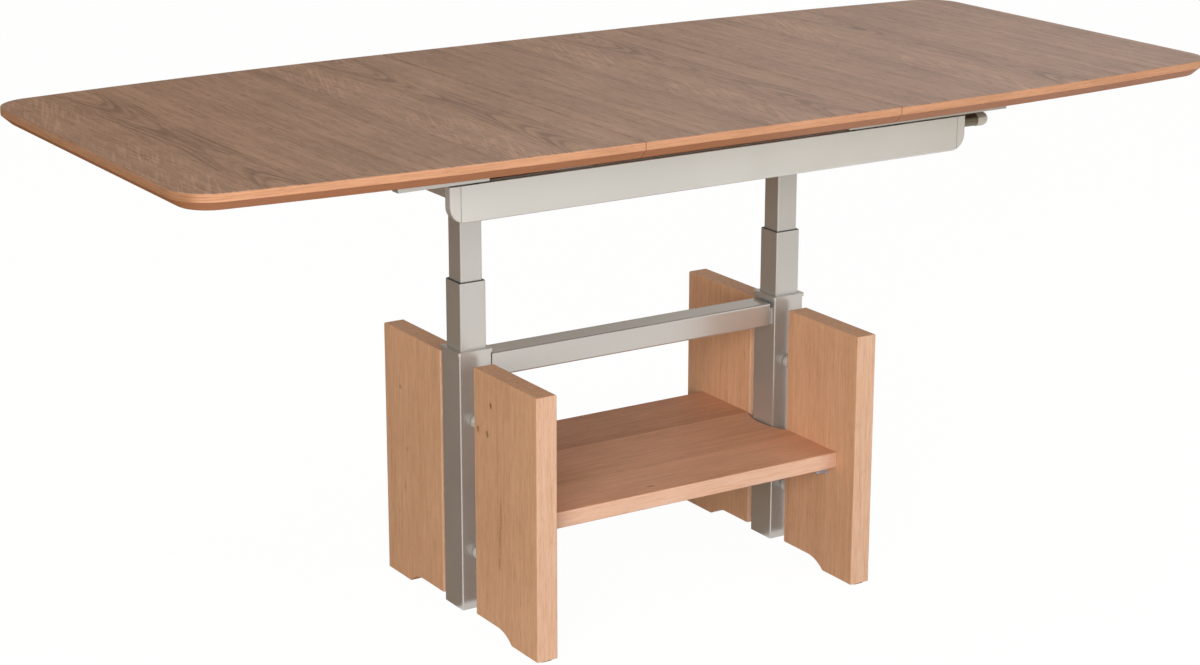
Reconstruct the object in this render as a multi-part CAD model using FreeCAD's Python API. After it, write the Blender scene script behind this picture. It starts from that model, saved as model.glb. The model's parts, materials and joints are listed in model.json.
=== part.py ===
import FreeCAD, Part
import math
import os

V = FreeCAD.Vector
X_AXIS = V(1, 0, 0)
Y_AXIS = V(0, 1, 0)
Z_AXIS = V(0, 0, 1)

# Convertible coffee dining table, raised and extended, in millimetres.
# X runs along the top, Y across it, Z up. The origin is on the floor, midway between the columns.

# Table top
table_length = 1600.0
table_width = 694.0
table_height = 728.0
insert_length = 400.0
board_thickness = 23.0
veneer_thickness = 0.8
lipping_width = 20.0
edge_band = 10.5
undercut_run = 14.0
lower_arris = 3.0
long_edge_radius = 5150.0
corner_radius = 55.0
seam_gap = 1.0
arris = 0.6

# Runners under the leaves
runner_overhang = 73.0
long_runner_length = 276.0
short_runner_length = 129.0
runner_height = 30.3
runner_depth = 15.5
runner_wall = 1.5
runner_lift = 2.2
shoe_length = 30.0
shoe_spacing = 80.0
shoe_inset = 12.0
pad_length = 12.0

# Apron frame
frame_length = 820.0
frame_depth = 456.0
apron_height = 48.0
apron_depth = 16.0
apron_wall = 2.0
apron_corner = 22.0
apron_edge = 3.0
apron_slot = 6.0
end_cap_length = 15.3
cap_joint = 0.7
spigot_length = 14.0
end_rail_size = 16.0
end_rail_setback = 2.0
bearer_width = 30.0
bearer_height = 24.0
angle_length = 380.0
angle_wall = 3.0
angle_flange = 6.5
angle_overlap = 26.0

# Insert pegs
peg_diameter = 4.0
peg_length = 8.0
peg_spacing = 300.0

# Telescopic columns
column_spacing = 524.0
column_size = 50.0
column_bottom = 15.0
tube_wall = 1.5
tube_corner = 1.8
outer_guide_thickness = 3.5
inner_guide_thickness = 1.75
collar_top = 387.5
collar_thickness = 5.0
collar_overhang = 2.0
collar_depth = 45.0
middle_exposed = 94.5
middle_overlap = 137.5
inner_overlap = 100.0
guide_length = 40.0
inner_guide_length = 27.0
rim_height = 0.6
head_plate_size = 50.0
head_plate_thickness = 6.0
foot_plate_thickness = 5.0

# Gas springs
gas_space = 4.25
gas_wall = 2.0
gas_length = 372.0
seal_length = 15.0
piston_length = 12.0
piston_gap = 2.0
rod_diameter = 8.0
pin_diameter = 4.0
pin_length = 12.0
pin_stand = 4.0
valve_bore_depth = 16.0

# Release lever
lever_y = -120.0
lever_tip_x = 529.2
lever_drop = 12.5
lever_rod_diameter = 9.0
grip_diameter = 17.6
grip_length = 95.0
tip_diameter = 20.4
shaft_diameter = 10.0
hub_diameter = 18.0
hub_length = 14.0
crank_reach = 38.0
crank_width = 8.0
finger_thickness = 6.0
finger_gap = 0.4
link_radius = 16.0
link_y = -34.6
link_height = 10.0
link_thickness = 4.0
link_pin_diameter = 5.0
bracket_thickness = 4.0
bracket_inner_y = 9.0
bracket_margin = 8.0

# Base: panels, shelf, stretcher
panel_thickness = 32.0
panel_depth = 164.0
panel_top = 372.0
panel_edge = 2.0
arch_height = 16.5
arch_start = 59.0
arch_radius = 55.0
glide_thickness = 2.0
glide_length = 44.0
glide_width = 20.0
spacer_length = 21.0
spacer_diameter = 20.0
spacer_low = 98.0
spacer_high = 288.0
stud_diameter = 8.0
stud_depth = 40.0
shelf_depth = 338.0
shelf_thickness = 23.0
shelf_top = 191.0
shelf_edge = 2.0
notch_radius = 95.0
notch_gap = 5.0
support_reach = 12.0
support_width = 13.0
support_height = 16.0
support_y = 143.0
support_peg_diameter = 5.0
support_peg_depth = 9.0
stretcher_depth = 39.0
stretcher_height = 34.0
stretcher_drop = 4.5
stretcher_corner = 3.0
end_plate_thickness = 4.0
end_plate_height = 27.0
end_plate_margin = 2.0
screw_diameter = 6.0
screw_head_diameter = 11.0
screw_head_height = 4.0
screw_spacing = 16.0

# Clearances
slide_clearance = 0.3
fit_clearance = 0.1
running_clearance = 0.05
pin_clearance = 0.1
shelf_clearance = 0.5

# Levels and faces that follow from the dimensions above
board_bottom = table_height - board_thickness
veneer_bottom = table_height - veneer_thickness
undercut_height = board_thickness - edge_band
seam_x = insert_length / 2
leaf_face_x = seam_x + seam_gap / 2
insert_face_x = seam_x - seam_gap / 2
runner_bottom = board_bottom - runner_height
apron_top = runner_bottom - runner_lift
apron_bottom = apron_top - apron_height
apron_face_y = frame_depth / 2
apron_back_y = apron_face_y - apron_depth
apron_tube_x = frame_length / 2 - end_cap_length
runner_reach = frame_length / 2 + runner_overhang
bearer_bottom = apron_top - bearer_height
head_plate_bottom = bearer_bottom - head_plate_thickness
column_x = column_spacing / 2
column_half = column_size / 2
column_inside = column_size - 2 * tube_wall
column_inner_x = column_x - column_half
middle_size = column_inside - 2 * outer_guide_thickness
middle_inside = middle_size - 2 * tube_wall
inner_size = middle_inside - 2 * inner_guide_thickness
inner_inside = inner_size - 2 * tube_wall
collar_bottom = collar_top - collar_thickness
middle_top = collar_top + middle_exposed
middle_bottom = collar_top - middle_overlap
inner_bottom = middle_top - inner_overlap
foot_plate_top = column_bottom + foot_plate_thickness
gas_diameter = inner_inside - 2 * gas_space
gas_bore = gas_diameter - 2 * gas_wall
gas_top = foot_plate_top + gas_length
piston_top = gas_top - seal_length - piston_gap
rod_top = bearer_bottom + apron_wall
pin_top = rod_top + pin_stand
shaft_z = bearer_bottom - lever_drop
shaft_offset = crank_reach
finger_bottom = pin_top + finger_gap
panel_inner_y = column_half + spacer_length
panel_outer_y = panel_inner_y + panel_depth
panel_face_x = column_x - panel_thickness / 2
shelf_bottom = shelf_top - shelf_thickness
stretcher_top = collar_bottom - stretcher_drop
stretcher_bottom = stretcher_top - stretcher_height
stretcher_end_x = column_inner_x - end_plate_thickness


def box(x0, x1, y0, y1, z0, z1):
    return Part.makeBox(x1 - x0, y1 - y0, z1 - z0, V(x0, y0, z0))


def rod(diameter, start, direction, length):
    return Part.makeCylinder(diameter / 2, length, start, direction)


def edges_along(shape, axis):
    """Straight edges of a shape that run along an axis."""
    found = []
    for edge in shape.Edges:
        ends = edge.Vertexes
        if len(ends) == 2:
            run = ends[1].Point - ends[0].Point
            if run.Length > 0 and abs(abs(run.dot(axis)) - run.Length) < 1e-6:
                found.append(edge)
    return found


def rounded(shape, radius, axis):
    """Fillet the edges of a bar that run along its length."""
    return shape.makeFillet(radius, edges_along(shape, axis))


def square_bar(centre_x, size, corner, low, high):
    """Upright square bar on a column axis, with rounded corners."""
    half = size / 2
    bar = box(centre_x - half, centre_x + half, -half, half, low, high)
    return rounded(bar, corner, Z_AXIS)


def square_tube(centre_x, size, low, high):
    """Upright square tube with the wall and corner shared by all three column stages."""
    inside_corner = max(tube_corner - tube_wall, tube_wall / 4)
    outside = square_bar(centre_x, size, tube_corner, low, high)
    inside = square_bar(centre_x, size - 2 * tube_wall, inside_corner, low, high)
    return outside.cut(inside)


def turned(shape):
    """The same piece half a turn round the table's upright axis."""
    return shape.rotated(V(0, 0, 0), Z_AXIS, 180)


def write_node(name, solids):
    """Write one node: a single solid, or a group of separate solids."""
    shape = solids[0] if len(solids) == 1 else Part.makeCompound(solids)
    shape.exportStep("parts/" + name + ".step")


def leaf_outline(inset, level):
    """Plan of the +X leaf at a level, drawn in by an inset on its three free edges.

    Each long edge is an arc that starts square to the seam; a round corner joins it to the straight end.
    """
    arc_y = long_edge_radius - table_width / 2
    radius = long_edge_radius - inset
    corner = corner_radius - inset
    end_x = table_length / 2 - inset
    corner_x = end_x - corner
    corner_y = arc_y - math.sqrt((radius - corner) ** 2 - (corner_x - leaf_face_x) ** 2)
    turn = math.atan2(corner_x - leaf_face_x, arc_y - corner_y)
    middle_turn = (turn + math.pi / 2) / 2

    def long_edge(angle, side):
        return V(leaf_face_x + radius * math.sin(angle), side * (radius * math.cos(angle) - arc_y), level)

    def corner_edge(angle, side):
        return V(corner_x + corner * math.sin(angle), side * (corner * math.cos(angle) - corner_y), level)

    front = [long_edge(0, -1), long_edge(turn / 2, -1), long_edge(turn, -1)]
    front_corner = [long_edge(turn, -1), corner_edge(middle_turn, -1), V(end_x, corner_y, level)]
    rear = [long_edge(turn, 1), long_edge(turn / 2, 1), long_edge(0, 1)]
    rear_corner = [V(end_x, -corner_y, level), corner_edge(middle_turn, 1), long_edge(turn, 1)]
    edges = [
        Part.Arc(*front).toShape(),
        Part.Arc(*front_corner).toShape(),
        Part.LineSegment(front_corner[2], rear_corner[0]).toShape(),
        Part.Arc(*rear_corner).toShape(),
        Part.Arc(*rear).toShape(),
        Part.LineSegment(rear[2], front[0]).toShape(),
    ]
    return Part.Face(Part.Wire(edges))


def edges_at_level(shape, level):
    """Edges of a shape that lie flat at one level."""
    return [edge for edge in shape.Edges
            if abs(edge.BoundBox.ZMin - level) < 1e-6 and abs(edge.BoundBox.ZMax - level) < 1e-6]


def eased_top(sheet):
    """Take the arris off the upper edges of a veneer sheet."""
    return sheet.makeChamfer(arris, edges_at_level(sheet, table_height))


def undercut_board(board, is_free):
    """Slope the underside of a board's free edges and round the arris that is left below."""
    lower = [edge for edge in edges_at_level(board, board_bottom) if is_free(edge)]
    board = board.makeChamfer(undercut_height, undercut_run, lower)
    lower = [edge for edge in edges_at_level(board, board_bottom) if is_free(edge)]
    return board.makeFillet(lower_arris, lower)


def leaf_pieces():
    """Core board, edge strip and veneer sheet of the +X leaf."""
    core_height = V(0, 0, veneer_bottom - board_bottom)
    core = leaf_outline(lipping_width, board_bottom).extrude(core_height)
    board = leaf_outline(0, board_bottom).extrude(core_height)

    def is_free(edge):
        return edge.BoundBox.XMax > leaf_face_x + seam_gap

    band = undercut_board(board, is_free).cut(core)
    veneer = eased_top(leaf_outline(0, veneer_bottom).extrude(V(0, 0, veneer_thickness)))
    return core, band, veneer


def insert_pieces():
    """Core board, the two edge strips and the veneer sheet of the insert."""
    half_width = table_width / 2
    core_y = half_width - lipping_width
    core = box(-insert_face_x, insert_face_x, -core_y, core_y, board_bottom, veneer_bottom)
    strip = box(-insert_face_x, insert_face_x, -half_width, -core_y, board_bottom, veneer_bottom)

    def is_free(edge):
        return edge.BoundBox.YMax < -core_y - arris and edge.BoundBox.XLength > lipping_width

    strip = undercut_board(strip, is_free)
    sheet = box(-insert_face_x, insert_face_x, -half_width, half_width, veneer_bottom, table_height)
    return core, [strip, turned(strip)], eased_top(sheet)


def runner(start_x, length, side):
    """Runner: a channel open below, closed at its ends, screwed under a leaf above one apron."""
    outer_y = side * apron_face_y
    inner_y = side * (apron_face_y - runner_depth)
    low_y = min(outer_y, inner_y)
    high_y = max(outer_y, inner_y)
    body = box(start_x, start_x + length, low_y, high_y, runner_bottom, board_bottom)
    hollow = box(start_x + runner_wall, start_x + length - runner_wall, low_y + runner_wall,
                 high_y - runner_wall, runner_bottom, board_bottom - runner_wall)
    return body.cut(hollow)


def runner_middle_y(side):
    return side * (apron_face_y - runner_depth / 2)


def shoe(start_x, side):
    """Sliding shoe: a head in the runner, a pad on the apron, and a foot held under its slot."""
    middle = runner_middle_y(side)
    slot_middle = side * (apron_face_y - apron_depth / 2)
    head_half = runner_depth / 2 - runner_wall - running_clearance
    pad_half = runner_depth / 2 - runner_wall / 2
    stem_half = apron_slot / 2 - slide_clearance
    foot_half = apron_depth / 2 - apron_wall - slide_clearance
    foot_top = apron_top - apron_wall - slide_clearance
    pad_bottom = apron_top + fit_clearance
    end_x = start_x + shoe_length
    head = box(start_x, end_x, middle - head_half, middle + head_half, runner_bottom, board_bottom - runner_height / 2)
    pad = box(start_x, end_x, middle - pad_half, middle + pad_half, pad_bottom, runner_bottom)
    stem = box(start_x, end_x, slot_middle - stem_half, slot_middle + stem_half, foot_top, pad_bottom)
    foot = box(start_x, end_x, slot_middle - foot_half, slot_middle + foot_half, foot_top - apron_slot, foot_top)
    return head.fuse([pad, stem, foot]).removeSplitter()


def glide_pad(start_x, side):
    """Plain pad that carries a short runner on the apron."""
    middle = runner_middle_y(side)
    half = runner_depth / 2 - runner_wall / 2
    head_half = runner_depth / 2 - runner_wall - running_clearance
    end_x = start_x + pad_length
    pad = box(start_x, end_x, middle - half, middle + half, apron_top + fit_clearance, runner_bottom)
    head = box(start_x, end_x, middle - head_half, middle + head_half, runner_bottom, runner_bottom + pad_length)
    return pad.fuse(head).removeSplitter()


def leaf_runners():
    """Long runner at the front and short runner at the rear of the +X leaf, with their shoes and pad."""
    long_start = runner_reach - long_runner_length
    short_start = runner_reach - short_runner_length
    runners = [runner(long_start, long_runner_length, -1), runner(short_start, short_runner_length, 1)]
    first_shoe = long_start + shoe_inset
    glides = [shoe(first_shoe, -1), shoe(first_shoe + shoe_spacing, -1)]
    glides.append(glide_pad(short_start + runner_wall + running_clearance, 1))
    return runners, glides


def apron_form():
    """Outside of the front apron over its full length, with round lower corners and eased edges."""
    end_x = frame_length / 2
    form = box(-end_x, end_x, -apron_face_y, -apron_back_y, apron_bottom, apron_top)
    lower_ends = [edge for edge in edges_along(form, Y_AXIS) if edge.BoundBox.ZMax < apron_top - apron_corner]
    form = form.makeFillet(apron_corner, lower_ends)
    outline = [edge for edge in form.Edges
               if edge.BoundBox.YLength < fit_clearance and edge.BoundBox.ZMin < apron_top - fit_clearance]
    return form.makeFillet(apron_edge, outline)


def apron():
    """Front apron: a box profile with a slot along its top for the sliding shoes."""
    length = box(-apron_tube_x, apron_tube_x, -apron_face_y, -apron_back_y, apron_bottom, apron_top)
    inner = box(-apron_tube_x, apron_tube_x, -apron_face_y + apron_wall, -apron_back_y - apron_wall,
                apron_bottom + apron_wall, apron_top - apron_wall)
    slot_y = -apron_face_y + apron_depth / 2
    slot = box(-apron_tube_x, apron_tube_x, slot_y - apron_slot / 2, slot_y + apron_slot / 2,
               apron_top - apron_wall, apron_top)
    return apron_form().common(length).cut([inner, slot])


def end_cap():
    """Cap on the +X end of the front apron, with a spigot into the profile and a shadow joint before it."""
    cap_x = apron_tube_x + cap_joint
    length = box(cap_x, frame_length / 2, -apron_face_y, -apron_back_y, apron_bottom, apron_top)
    inside = apron_wall + fit_clearance
    spigot = box(apron_tube_x - spigot_length, cap_x, -apron_face_y + inside, -apron_back_y - inside,
                 apron_bottom + inside, apron_top - inside)
    return apron_form().common(length).fuse(spigot).removeSplitter()


def end_rail():
    """Cross rail between the aprons at the +X end."""
    high_x = frame_length / 2 - end_rail_setback
    rail = box(high_x - end_rail_size, high_x, -apron_back_y, apron_back_y, apron_top - end_rail_size, apron_top)
    hollow = box(high_x - end_rail_size + apron_wall, high_x - apron_wall, -apron_back_y, apron_back_y,
                 apron_top - end_rail_size + apron_wall, apron_top - apron_wall)
    return rail.cut(hollow)


def bearer(centre_x):
    """Cross bearer over a column, with a hole for the rod and a window for the release finger."""
    half = bearer_width / 2
    body = box(centre_x - half, centre_x + half, -apron_back_y, apron_back_y, bearer_bottom, apron_top)
    hollow = box(centre_x - half + apron_wall, centre_x + half - apron_wall, -apron_back_y, apron_back_y,
                 bearer_bottom + apron_wall, apron_top - apron_wall)
    hole = rod(rod_diameter + 2 * fit_clearance, V(centre_x, 0, bearer_bottom), Z_AXIS, apron_wall)
    window_half = crank_width / 2 + apron_wall
    window = box(centre_x, centre_x + half, -window_half, window_half,
                 bearer_bottom + apron_wall, finger_bottom + finger_thickness + apron_wall)
    return body.cut(hollow).cut(hole).cut(window)


def insert_angle():
    """Support angle on the inner face of the front apron, with holes for the insert's pegs."""
    half = angle_length / 2
    leg = box(-half, half, -apron_back_y, -apron_back_y + angle_wall, apron_top - angle_overlap, board_bottom)
    flange_y = -apron_back_y + angle_wall + angle_flange
    flange = box(-half, half, -apron_back_y, flange_y, board_bottom - angle_wall, board_bottom)
    angle = leg.fuse(flange).removeSplitter()
    for peg_x in (-peg_spacing / 2, peg_spacing / 2):
        start = V(peg_x, peg_y(), board_bottom - angle_wall)
        angle = angle.cut(rod(peg_diameter + 2 * slide_clearance, start, Z_AXIS, angle_wall))
    return angle


def peg_y():
    return -apron_back_y + angle_wall + angle_flange / 2


def insert_pegs():
    """Pegs under the insert that drop into the support angles."""
    pegs = []
    for peg_x in (-peg_spacing / 2, peg_spacing / 2):
        for y in (peg_y(), -peg_y()):
            pegs.append(rod(peg_diameter, V(peg_x, y, board_bottom - peg_length), Z_AXIS, peg_length))
    return pegs


def collar(centre_x):
    """Collar: a cap on the outer tube with a guide sleeve inside it."""
    cap = square_bar(centre_x, column_size + 2 * collar_overhang, tube_corner + collar_overhang,
                     collar_bottom, collar_top)
    sleeve = square_bar(centre_x, column_inside - 2 * fit_clearance, tube_corner,
                        collar_bottom - collar_depth, collar_bottom)
    passage = square_bar(centre_x, middle_size + 2 * slide_clearance, tube_corner + slide_clearance,
                         collar_bottom - collar_depth, collar_top)
    return cap.fuse(sleeve).cut(passage).removeSplitter()


def outer_column(centre_x):
    """Outer tube, with holes for the panel studs and the stretcher's screws."""
    tube = square_tube(centre_x, column_size, column_bottom, collar_bottom)
    for level in (spacer_low, spacer_high):
        start = V(centre_x, -column_half, level)
        tube = tube.cut(rod(stud_diameter + 2 * fit_clearance, start, Y_AXIS, column_size))
    face_x = centre_x - math.copysign(column_half, centre_x)
    inward = V(math.copysign(1, centre_x), 0, 0)
    for y in (-screw_spacing / 2, screw_spacing / 2):
        start = V(face_x, y, screw_level())
        tube = tube.cut(rod(screw_diameter + 2 * fit_clearance, start, inward, tube_wall))
    return tube


def screw_level():
    return stretcher_bottom + end_plate_height / 2


def foot_plate(centre_x):
    return square_bar(centre_x, column_inside - 2 * fit_clearance, tube_corner, column_bottom, foot_plate_top)


def middle_guides(centre_x):
    """Foot ring outside the middle tube, and top bush inside it with a rim over its edge."""
    ring = square_bar(centre_x, column_inside - 2 * slide_clearance, tube_corner,
                      middle_bottom, middle_bottom + guide_length)
    ring = ring.cut(square_bar(centre_x, middle_size, tube_corner - fit_clearance,
                               middle_bottom, middle_bottom + guide_length))
    bush = square_bar(centre_x, middle_inside, tube_corner, middle_top - guide_length, middle_top)
    rim = square_bar(centre_x, middle_size - 2 * rim_height, tube_corner, middle_top, middle_top + rim_height)
    passage = square_bar(centre_x, inner_size + 2 * slide_clearance, tube_corner + slide_clearance,
                         middle_top - guide_length, middle_top + rim_height)
    return [ring, bush.fuse(rim).cut(passage).removeSplitter()]


def inner_guide_ring(centre_x):
    """Ring round the foot of the inner tube, guided by the middle tube."""
    high = inner_bottom + inner_guide_length
    ring = square_bar(centre_x, middle_inside - 2 * slide_clearance, tube_corner, inner_bottom, high)
    return ring.cut(square_bar(centre_x, inner_size, tube_corner - fit_clearance, inner_bottom, high))


def head_plate(centre_x):
    half = head_plate_size / 2
    plate = box(centre_x - half, centre_x + half, -half, half, head_plate_bottom, bearer_bottom)
    hole = rod(rod_diameter + 2 * fit_clearance, V(centre_x, 0, head_plate_bottom), Z_AXIS, head_plate_thickness)
    return rounded(plate, tube_corner, Z_AXIS).cut(hole)


def gas_cylinder(centre_x):
    """Pressure tube of the gas spring, closed at its foot."""
    tube = rod(gas_diameter, V(centre_x, 0, foot_plate_top), Z_AXIS, gas_length)
    bore = rod(gas_bore, V(centre_x, 0, foot_plate_top + foot_plate_thickness), Z_AXIS, gas_length)
    return tube.cut(bore)


def gas_seal(centre_x):
    """Seal head in the mouth of the pressure tube, which guides the rod."""
    start = V(centre_x, 0, gas_top - seal_length)
    bore = rod(rod_diameter + 2 * running_clearance, start, Z_AXIS, seal_length)
    return rod(gas_bore, start, Z_AXIS, seal_length).cut(bore)


def gas_rod(centre_x):
    """Rod and piston; the rod's head is drilled for the valve pin."""
    piston = rod(gas_bore - 2 * pin_clearance, V(centre_x, 0, piston_top - piston_length), Z_AXIS, piston_length)
    shank = rod(rod_diameter, V(centre_x, 0, piston_top), Z_AXIS, rod_top - piston_top)
    bore = rod(pin_diameter + 2 * pin_clearance, V(centre_x, 0, rod_top - valve_bore_depth), Z_AXIS, valve_bore_depth)
    return piston.fuse(shank).cut(bore).removeSplitter()


def valve_pin(centre_x):
    return rod(pin_diameter, V(centre_x, 0, pin_top - pin_length), Z_AXIS, pin_length)


def crank_shaft(centre_x, low_y):
    """Release shaft with its crank, the finger over the valve pin, and the arm and pin of the link."""
    shaft_x = centre_x + shaft_offset
    high_y = bracket_inner_y + bracket_thickness + apron_wall
    shaft = rod(shaft_diameter, V(shaft_x, low_y, shaft_z), Y_AXIS, high_y - low_y)
    half = crank_width / 2
    radius = shaft_diameter / 2
    finger_top = finger_bottom + finger_thickness
    crank = box(shaft_x - radius, shaft_x + radius, -half, half, shaft_z, finger_top)
    finger = box(centre_x - pin_diameter, shaft_x + radius, -half, half, finger_bottom, finger_top)
    arm_high_y = link_y - fit_clearance
    arm_low_y = arm_high_y - link_thickness
    arm_bottom = shaft_z - link_radius - link_height / 2
    arm = box(shaft_x - radius, shaft_x + radius, arm_low_y, arm_high_y, arm_bottom, shaft_z)
    pin = rod(link_pin_diameter, V(shaft_x, arm_high_y, shaft_z - link_radius), Y_AXIS,
              link_thickness + 2 * fit_clearance)
    return shaft.fuse([crank, finger, arm, pin]).removeSplitter()


def release_brackets():
    """Plates on the bearers that carry the release shafts; a third one stands beside the lever."""
    plates = []
    lever_side_y = lever_y + hub_length / 2 + slide_clearance
    for centre_x in (-column_x, column_x):
        places = [-bracket_inner_y - bracket_thickness, bracket_inner_y]
        if centre_x > 0:
            places.append(lever_side_y)
        shaft_x = centre_x + shaft_offset
        end_x = shaft_x + bracket_margin
        clear_x = centre_x + head_plate_size / 2 + slide_clearance
        for y in places:
            far_y = y + bracket_thickness
            tab = box(centre_x + bearer_width / 2, end_x, y, far_y, bearer_bottom, apron_top - bracket_margin)
            hanger = box(clear_x, end_x, y, far_y, shaft_z - bracket_margin, bearer_bottom)
            hole = rod(shaft_diameter + 2 * running_clearance, V(shaft_x, y, shaft_z), Y_AXIS, bracket_thickness)
            plates.append(tab.fuse(hanger).cut(hole).removeSplitter())
    return plates


def release_lever():
    """Lever on the end of the release shaft: hub, thin rod, thick grip and domed tip."""
    shaft_x = column_x + shaft_offset
    hub = rod(hub_diameter, V(shaft_x, lever_y - hub_length / 2, shaft_z), Y_AXIS, hub_length)
    grip_x = lever_tip_x - grip_length
    arm = rod(lever_rod_diameter, V(shaft_x, lever_y, shaft_z), X_AXIS, grip_x - shaft_x)
    shoulder = Part.makeCone(lever_rod_diameter / 2, grip_diameter / 2, hub_diameter / 2,
                             V(grip_x - hub_diameter / 2, lever_y, shaft_z), X_AXIS)
    grip = rod(grip_diameter, V(grip_x, lever_y, shaft_z), X_AXIS, grip_length)
    tip = Part.makeSphere(tip_diameter / 2, V(lever_tip_x, lever_y, shaft_z))
    lever = hub.fuse([arm, shoulder, grip, tip]).removeSplitter()
    seat = rod(shaft_diameter, V(shaft_x, lever_y - hub_length / 2, shaft_z), Y_AXIS, hub_length)
    return lever.cut(seat)


def release_link():
    """Flat bar that carries the lever's turn to the rocker at the other column."""
    left_x = shaft_offset - column_x
    right_x = shaft_offset + column_x
    level = shaft_z - link_radius
    half = link_height / 2
    bar = box(left_x - half, right_x + half, link_y, link_y + link_thickness, level - half, level + half)
    for x in (left_x, right_x):
        start = V(x, link_y, level)
        bar = bar.cut(rod(link_pin_diameter + 2 * pin_clearance, start, Y_AXIS, link_thickness))
    return bar


def panel(centre_x, side):
    """Upright oak panel: its inner edge by the column, its lower edge arched up from an outer foot."""
    half = panel_thickness / 2
    low_x = centre_x - half
    rise = arch_height - glide_thickness
    arch_y = panel_inner_y + arch_start
    foot_y = arch_y + math.sqrt(2 * arch_radius * rise - rise ** 2)
    bend = math.acos(1 - rise / arch_radius) / 2
    arch_middle = V(low_x, side * (arch_y + arch_radius * math.sin(bend)),
                    arch_height - arch_radius * (1 - math.cos(bend)))
    inner_low = V(low_x, side * panel_inner_y, arch_height)
    arch_high = V(low_x, side * arch_y, arch_height)
    arch_low = V(low_x, side * foot_y, glide_thickness)
    outer_low = V(low_x, side * panel_outer_y, glide_thickness)
    outer_high = V(low_x, side * panel_outer_y, panel_top)
    inner_high = V(low_x, side * panel_inner_y, panel_top)
    edges = [
        Part.LineSegment(inner_low, arch_high).toShape(),
        Part.Arc(arch_high, arch_middle, arch_low).toShape(),
        Part.LineSegment(arch_low, outer_low).toShape(),
        Part.LineSegment(outer_low, outer_high).toShape(),
        Part.LineSegment(outer_high, inner_high).toShape(),
        Part.LineSegment(inner_high, inner_low).toShape(),
    ]
    board = Part.Face(Part.Wire(edges)).extrude(V(panel_thickness, 0, 0))
    upright = edges_along(board, Z_AXIS)
    top = edges_at_level(board, panel_top)
    board = board.makeFillet(panel_edge, upright + top)
    for level in (spacer_low, spacer_high):
        start = V(centre_x, side * panel_inner_y, level)
        board = board.cut(rod(stud_diameter + 2 * fit_clearance, start, V(0, side, 0), stud_depth + fit_clearance))
    face_x = centre_x - math.copysign(half, centre_x)
    outward = V(math.copysign(1, centre_x), 0, 0)
    start = V(face_x, side * support_y, support_level())
    return board.cut(rod(support_peg_diameter + 2 * fit_clearance, start, outward, support_peg_depth + fit_clearance))


def support_level():
    return shelf_bottom - support_height / 2


def shelf_support(sign, side):
    """Clear support under one corner of the shelf, with a peg in the panel."""
    low_x = min(sign * panel_face_x, sign * (panel_face_x - support_reach))
    half = support_width / 2
    middle_y = side * support_y
    block = box(low_x, low_x + support_reach, middle_y - half, middle_y + half,
                shelf_bottom - support_height, shelf_bottom)
    peg = rod(support_peg_diameter, V(sign * panel_face_x, middle_y, support_level()),
              V(sign, 0, 0), support_peg_depth)
    return block.fuse(peg).removeSplitter()


def shelf():
    """Shelf between the panels, hollowed at both ends to pass the columns."""
    half_length = panel_face_x - shelf_clearance
    half_depth = shelf_depth / 2
    board = box(-half_length, half_length, -half_depth, half_depth, shelf_bottom, shelf_top)
    board = board.makeFillet(shelf_edge, edges_along(board, X_AXIS))
    notch_x = column_inner_x - notch_gap + notch_radius
    for sign in (-1, 1):
        start = V(sign * notch_x, 0, shelf_bottom)
        board = board.cut(rod(2 * notch_radius, start, Z_AXIS, shelf_thickness))
    return board


def stretcher():
    """Box tube between the columns, just under the collars."""
    half = stretcher_depth / 2
    outer = box(-stretcher_end_x, stretcher_end_x, -half, half, stretcher_bottom, stretcher_top)
    outer = rounded(outer, stretcher_corner, X_AXIS)
    inner = box(-stretcher_end_x, stretcher_end_x, -half + tube_wall, half - tube_wall,
                stretcher_bottom + tube_wall, stretcher_top - tube_wall)
    inside_corner = max(stretcher_corner - tube_wall, tube_wall / 4)
    return outer.cut(rounded(inner, inside_corner, X_AXIS))


def stretcher_end_plate(sign):
    """Plate between one end of the stretcher and the column."""
    half = stretcher_depth / 2 - end_plate_margin
    low_x = min(sign * stretcher_end_x, sign * column_inner_x)
    plate = box(low_x, low_x + end_plate_thickness, -half, half, stretcher_bottom, stretcher_bottom + end_plate_height)
    plate = rounded(plate, stretcher_corner, X_AXIS)
    for y in (-screw_spacing / 2, screw_spacing / 2):
        start = V(low_x, y, screw_level())
        plate = plate.cut(rod(screw_diameter + 2 * fit_clearance, start, X_AXIS, end_plate_thickness))
    return plate


def stretcher_screw(sign, y):
    """Screw from inside the stretcher through its end plate into the column's wall."""
    outward = V(sign, 0, 0)
    head_x = stretcher_end_x - screw_head_height
    head = rod(screw_head_diameter, V(sign * head_x, y, screw_level()), outward, screw_head_height)
    shank_length = end_plate_thickness + tube_wall
    shank = rod(screw_diameter, V(sign * stretcher_end_x, y, screw_level()), outward, shank_length)
    return head.fuse(shank).removeSplitter()


def spacer(centre_x, side, level):
    """Round spacer that holds a panel off its column."""
    start = V(centre_x, side * column_half, level)
    outward = V(0, side, 0)
    bore = rod(stud_diameter + 2 * fit_clearance, start, outward, spacer_length)
    return rod(spacer_diameter, start, outward, spacer_length).cut(bore)


def stud(centre_x, side, level):
    """Stud from the column's wall through the spacer into the panel's edge."""
    start = V(centre_x, side * (column_half - tube_wall + fit_clearance), level)
    return rod(stud_diameter, start, V(0, side, 0), tube_wall - fit_clearance + spacer_length + stud_depth)


def floor_glide(centre_x, side):
    half = glide_width / 2
    foot_inner_y = panel_outer_y - panel_edge - glide_length
    low_y = min(side * foot_inner_y, side * (foot_inner_y + glide_length))
    pad = box(centre_x - half, centre_x + half, low_y, low_y + glide_length, 0, glide_thickness)
    return rounded(pad, glide_width / 4, Z_AXIS)


os.makedirs("parts", exist_ok=True)
columns = (("left", -column_x), ("right", column_x))
sides = (("front", -1), ("rear", 1))

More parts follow.
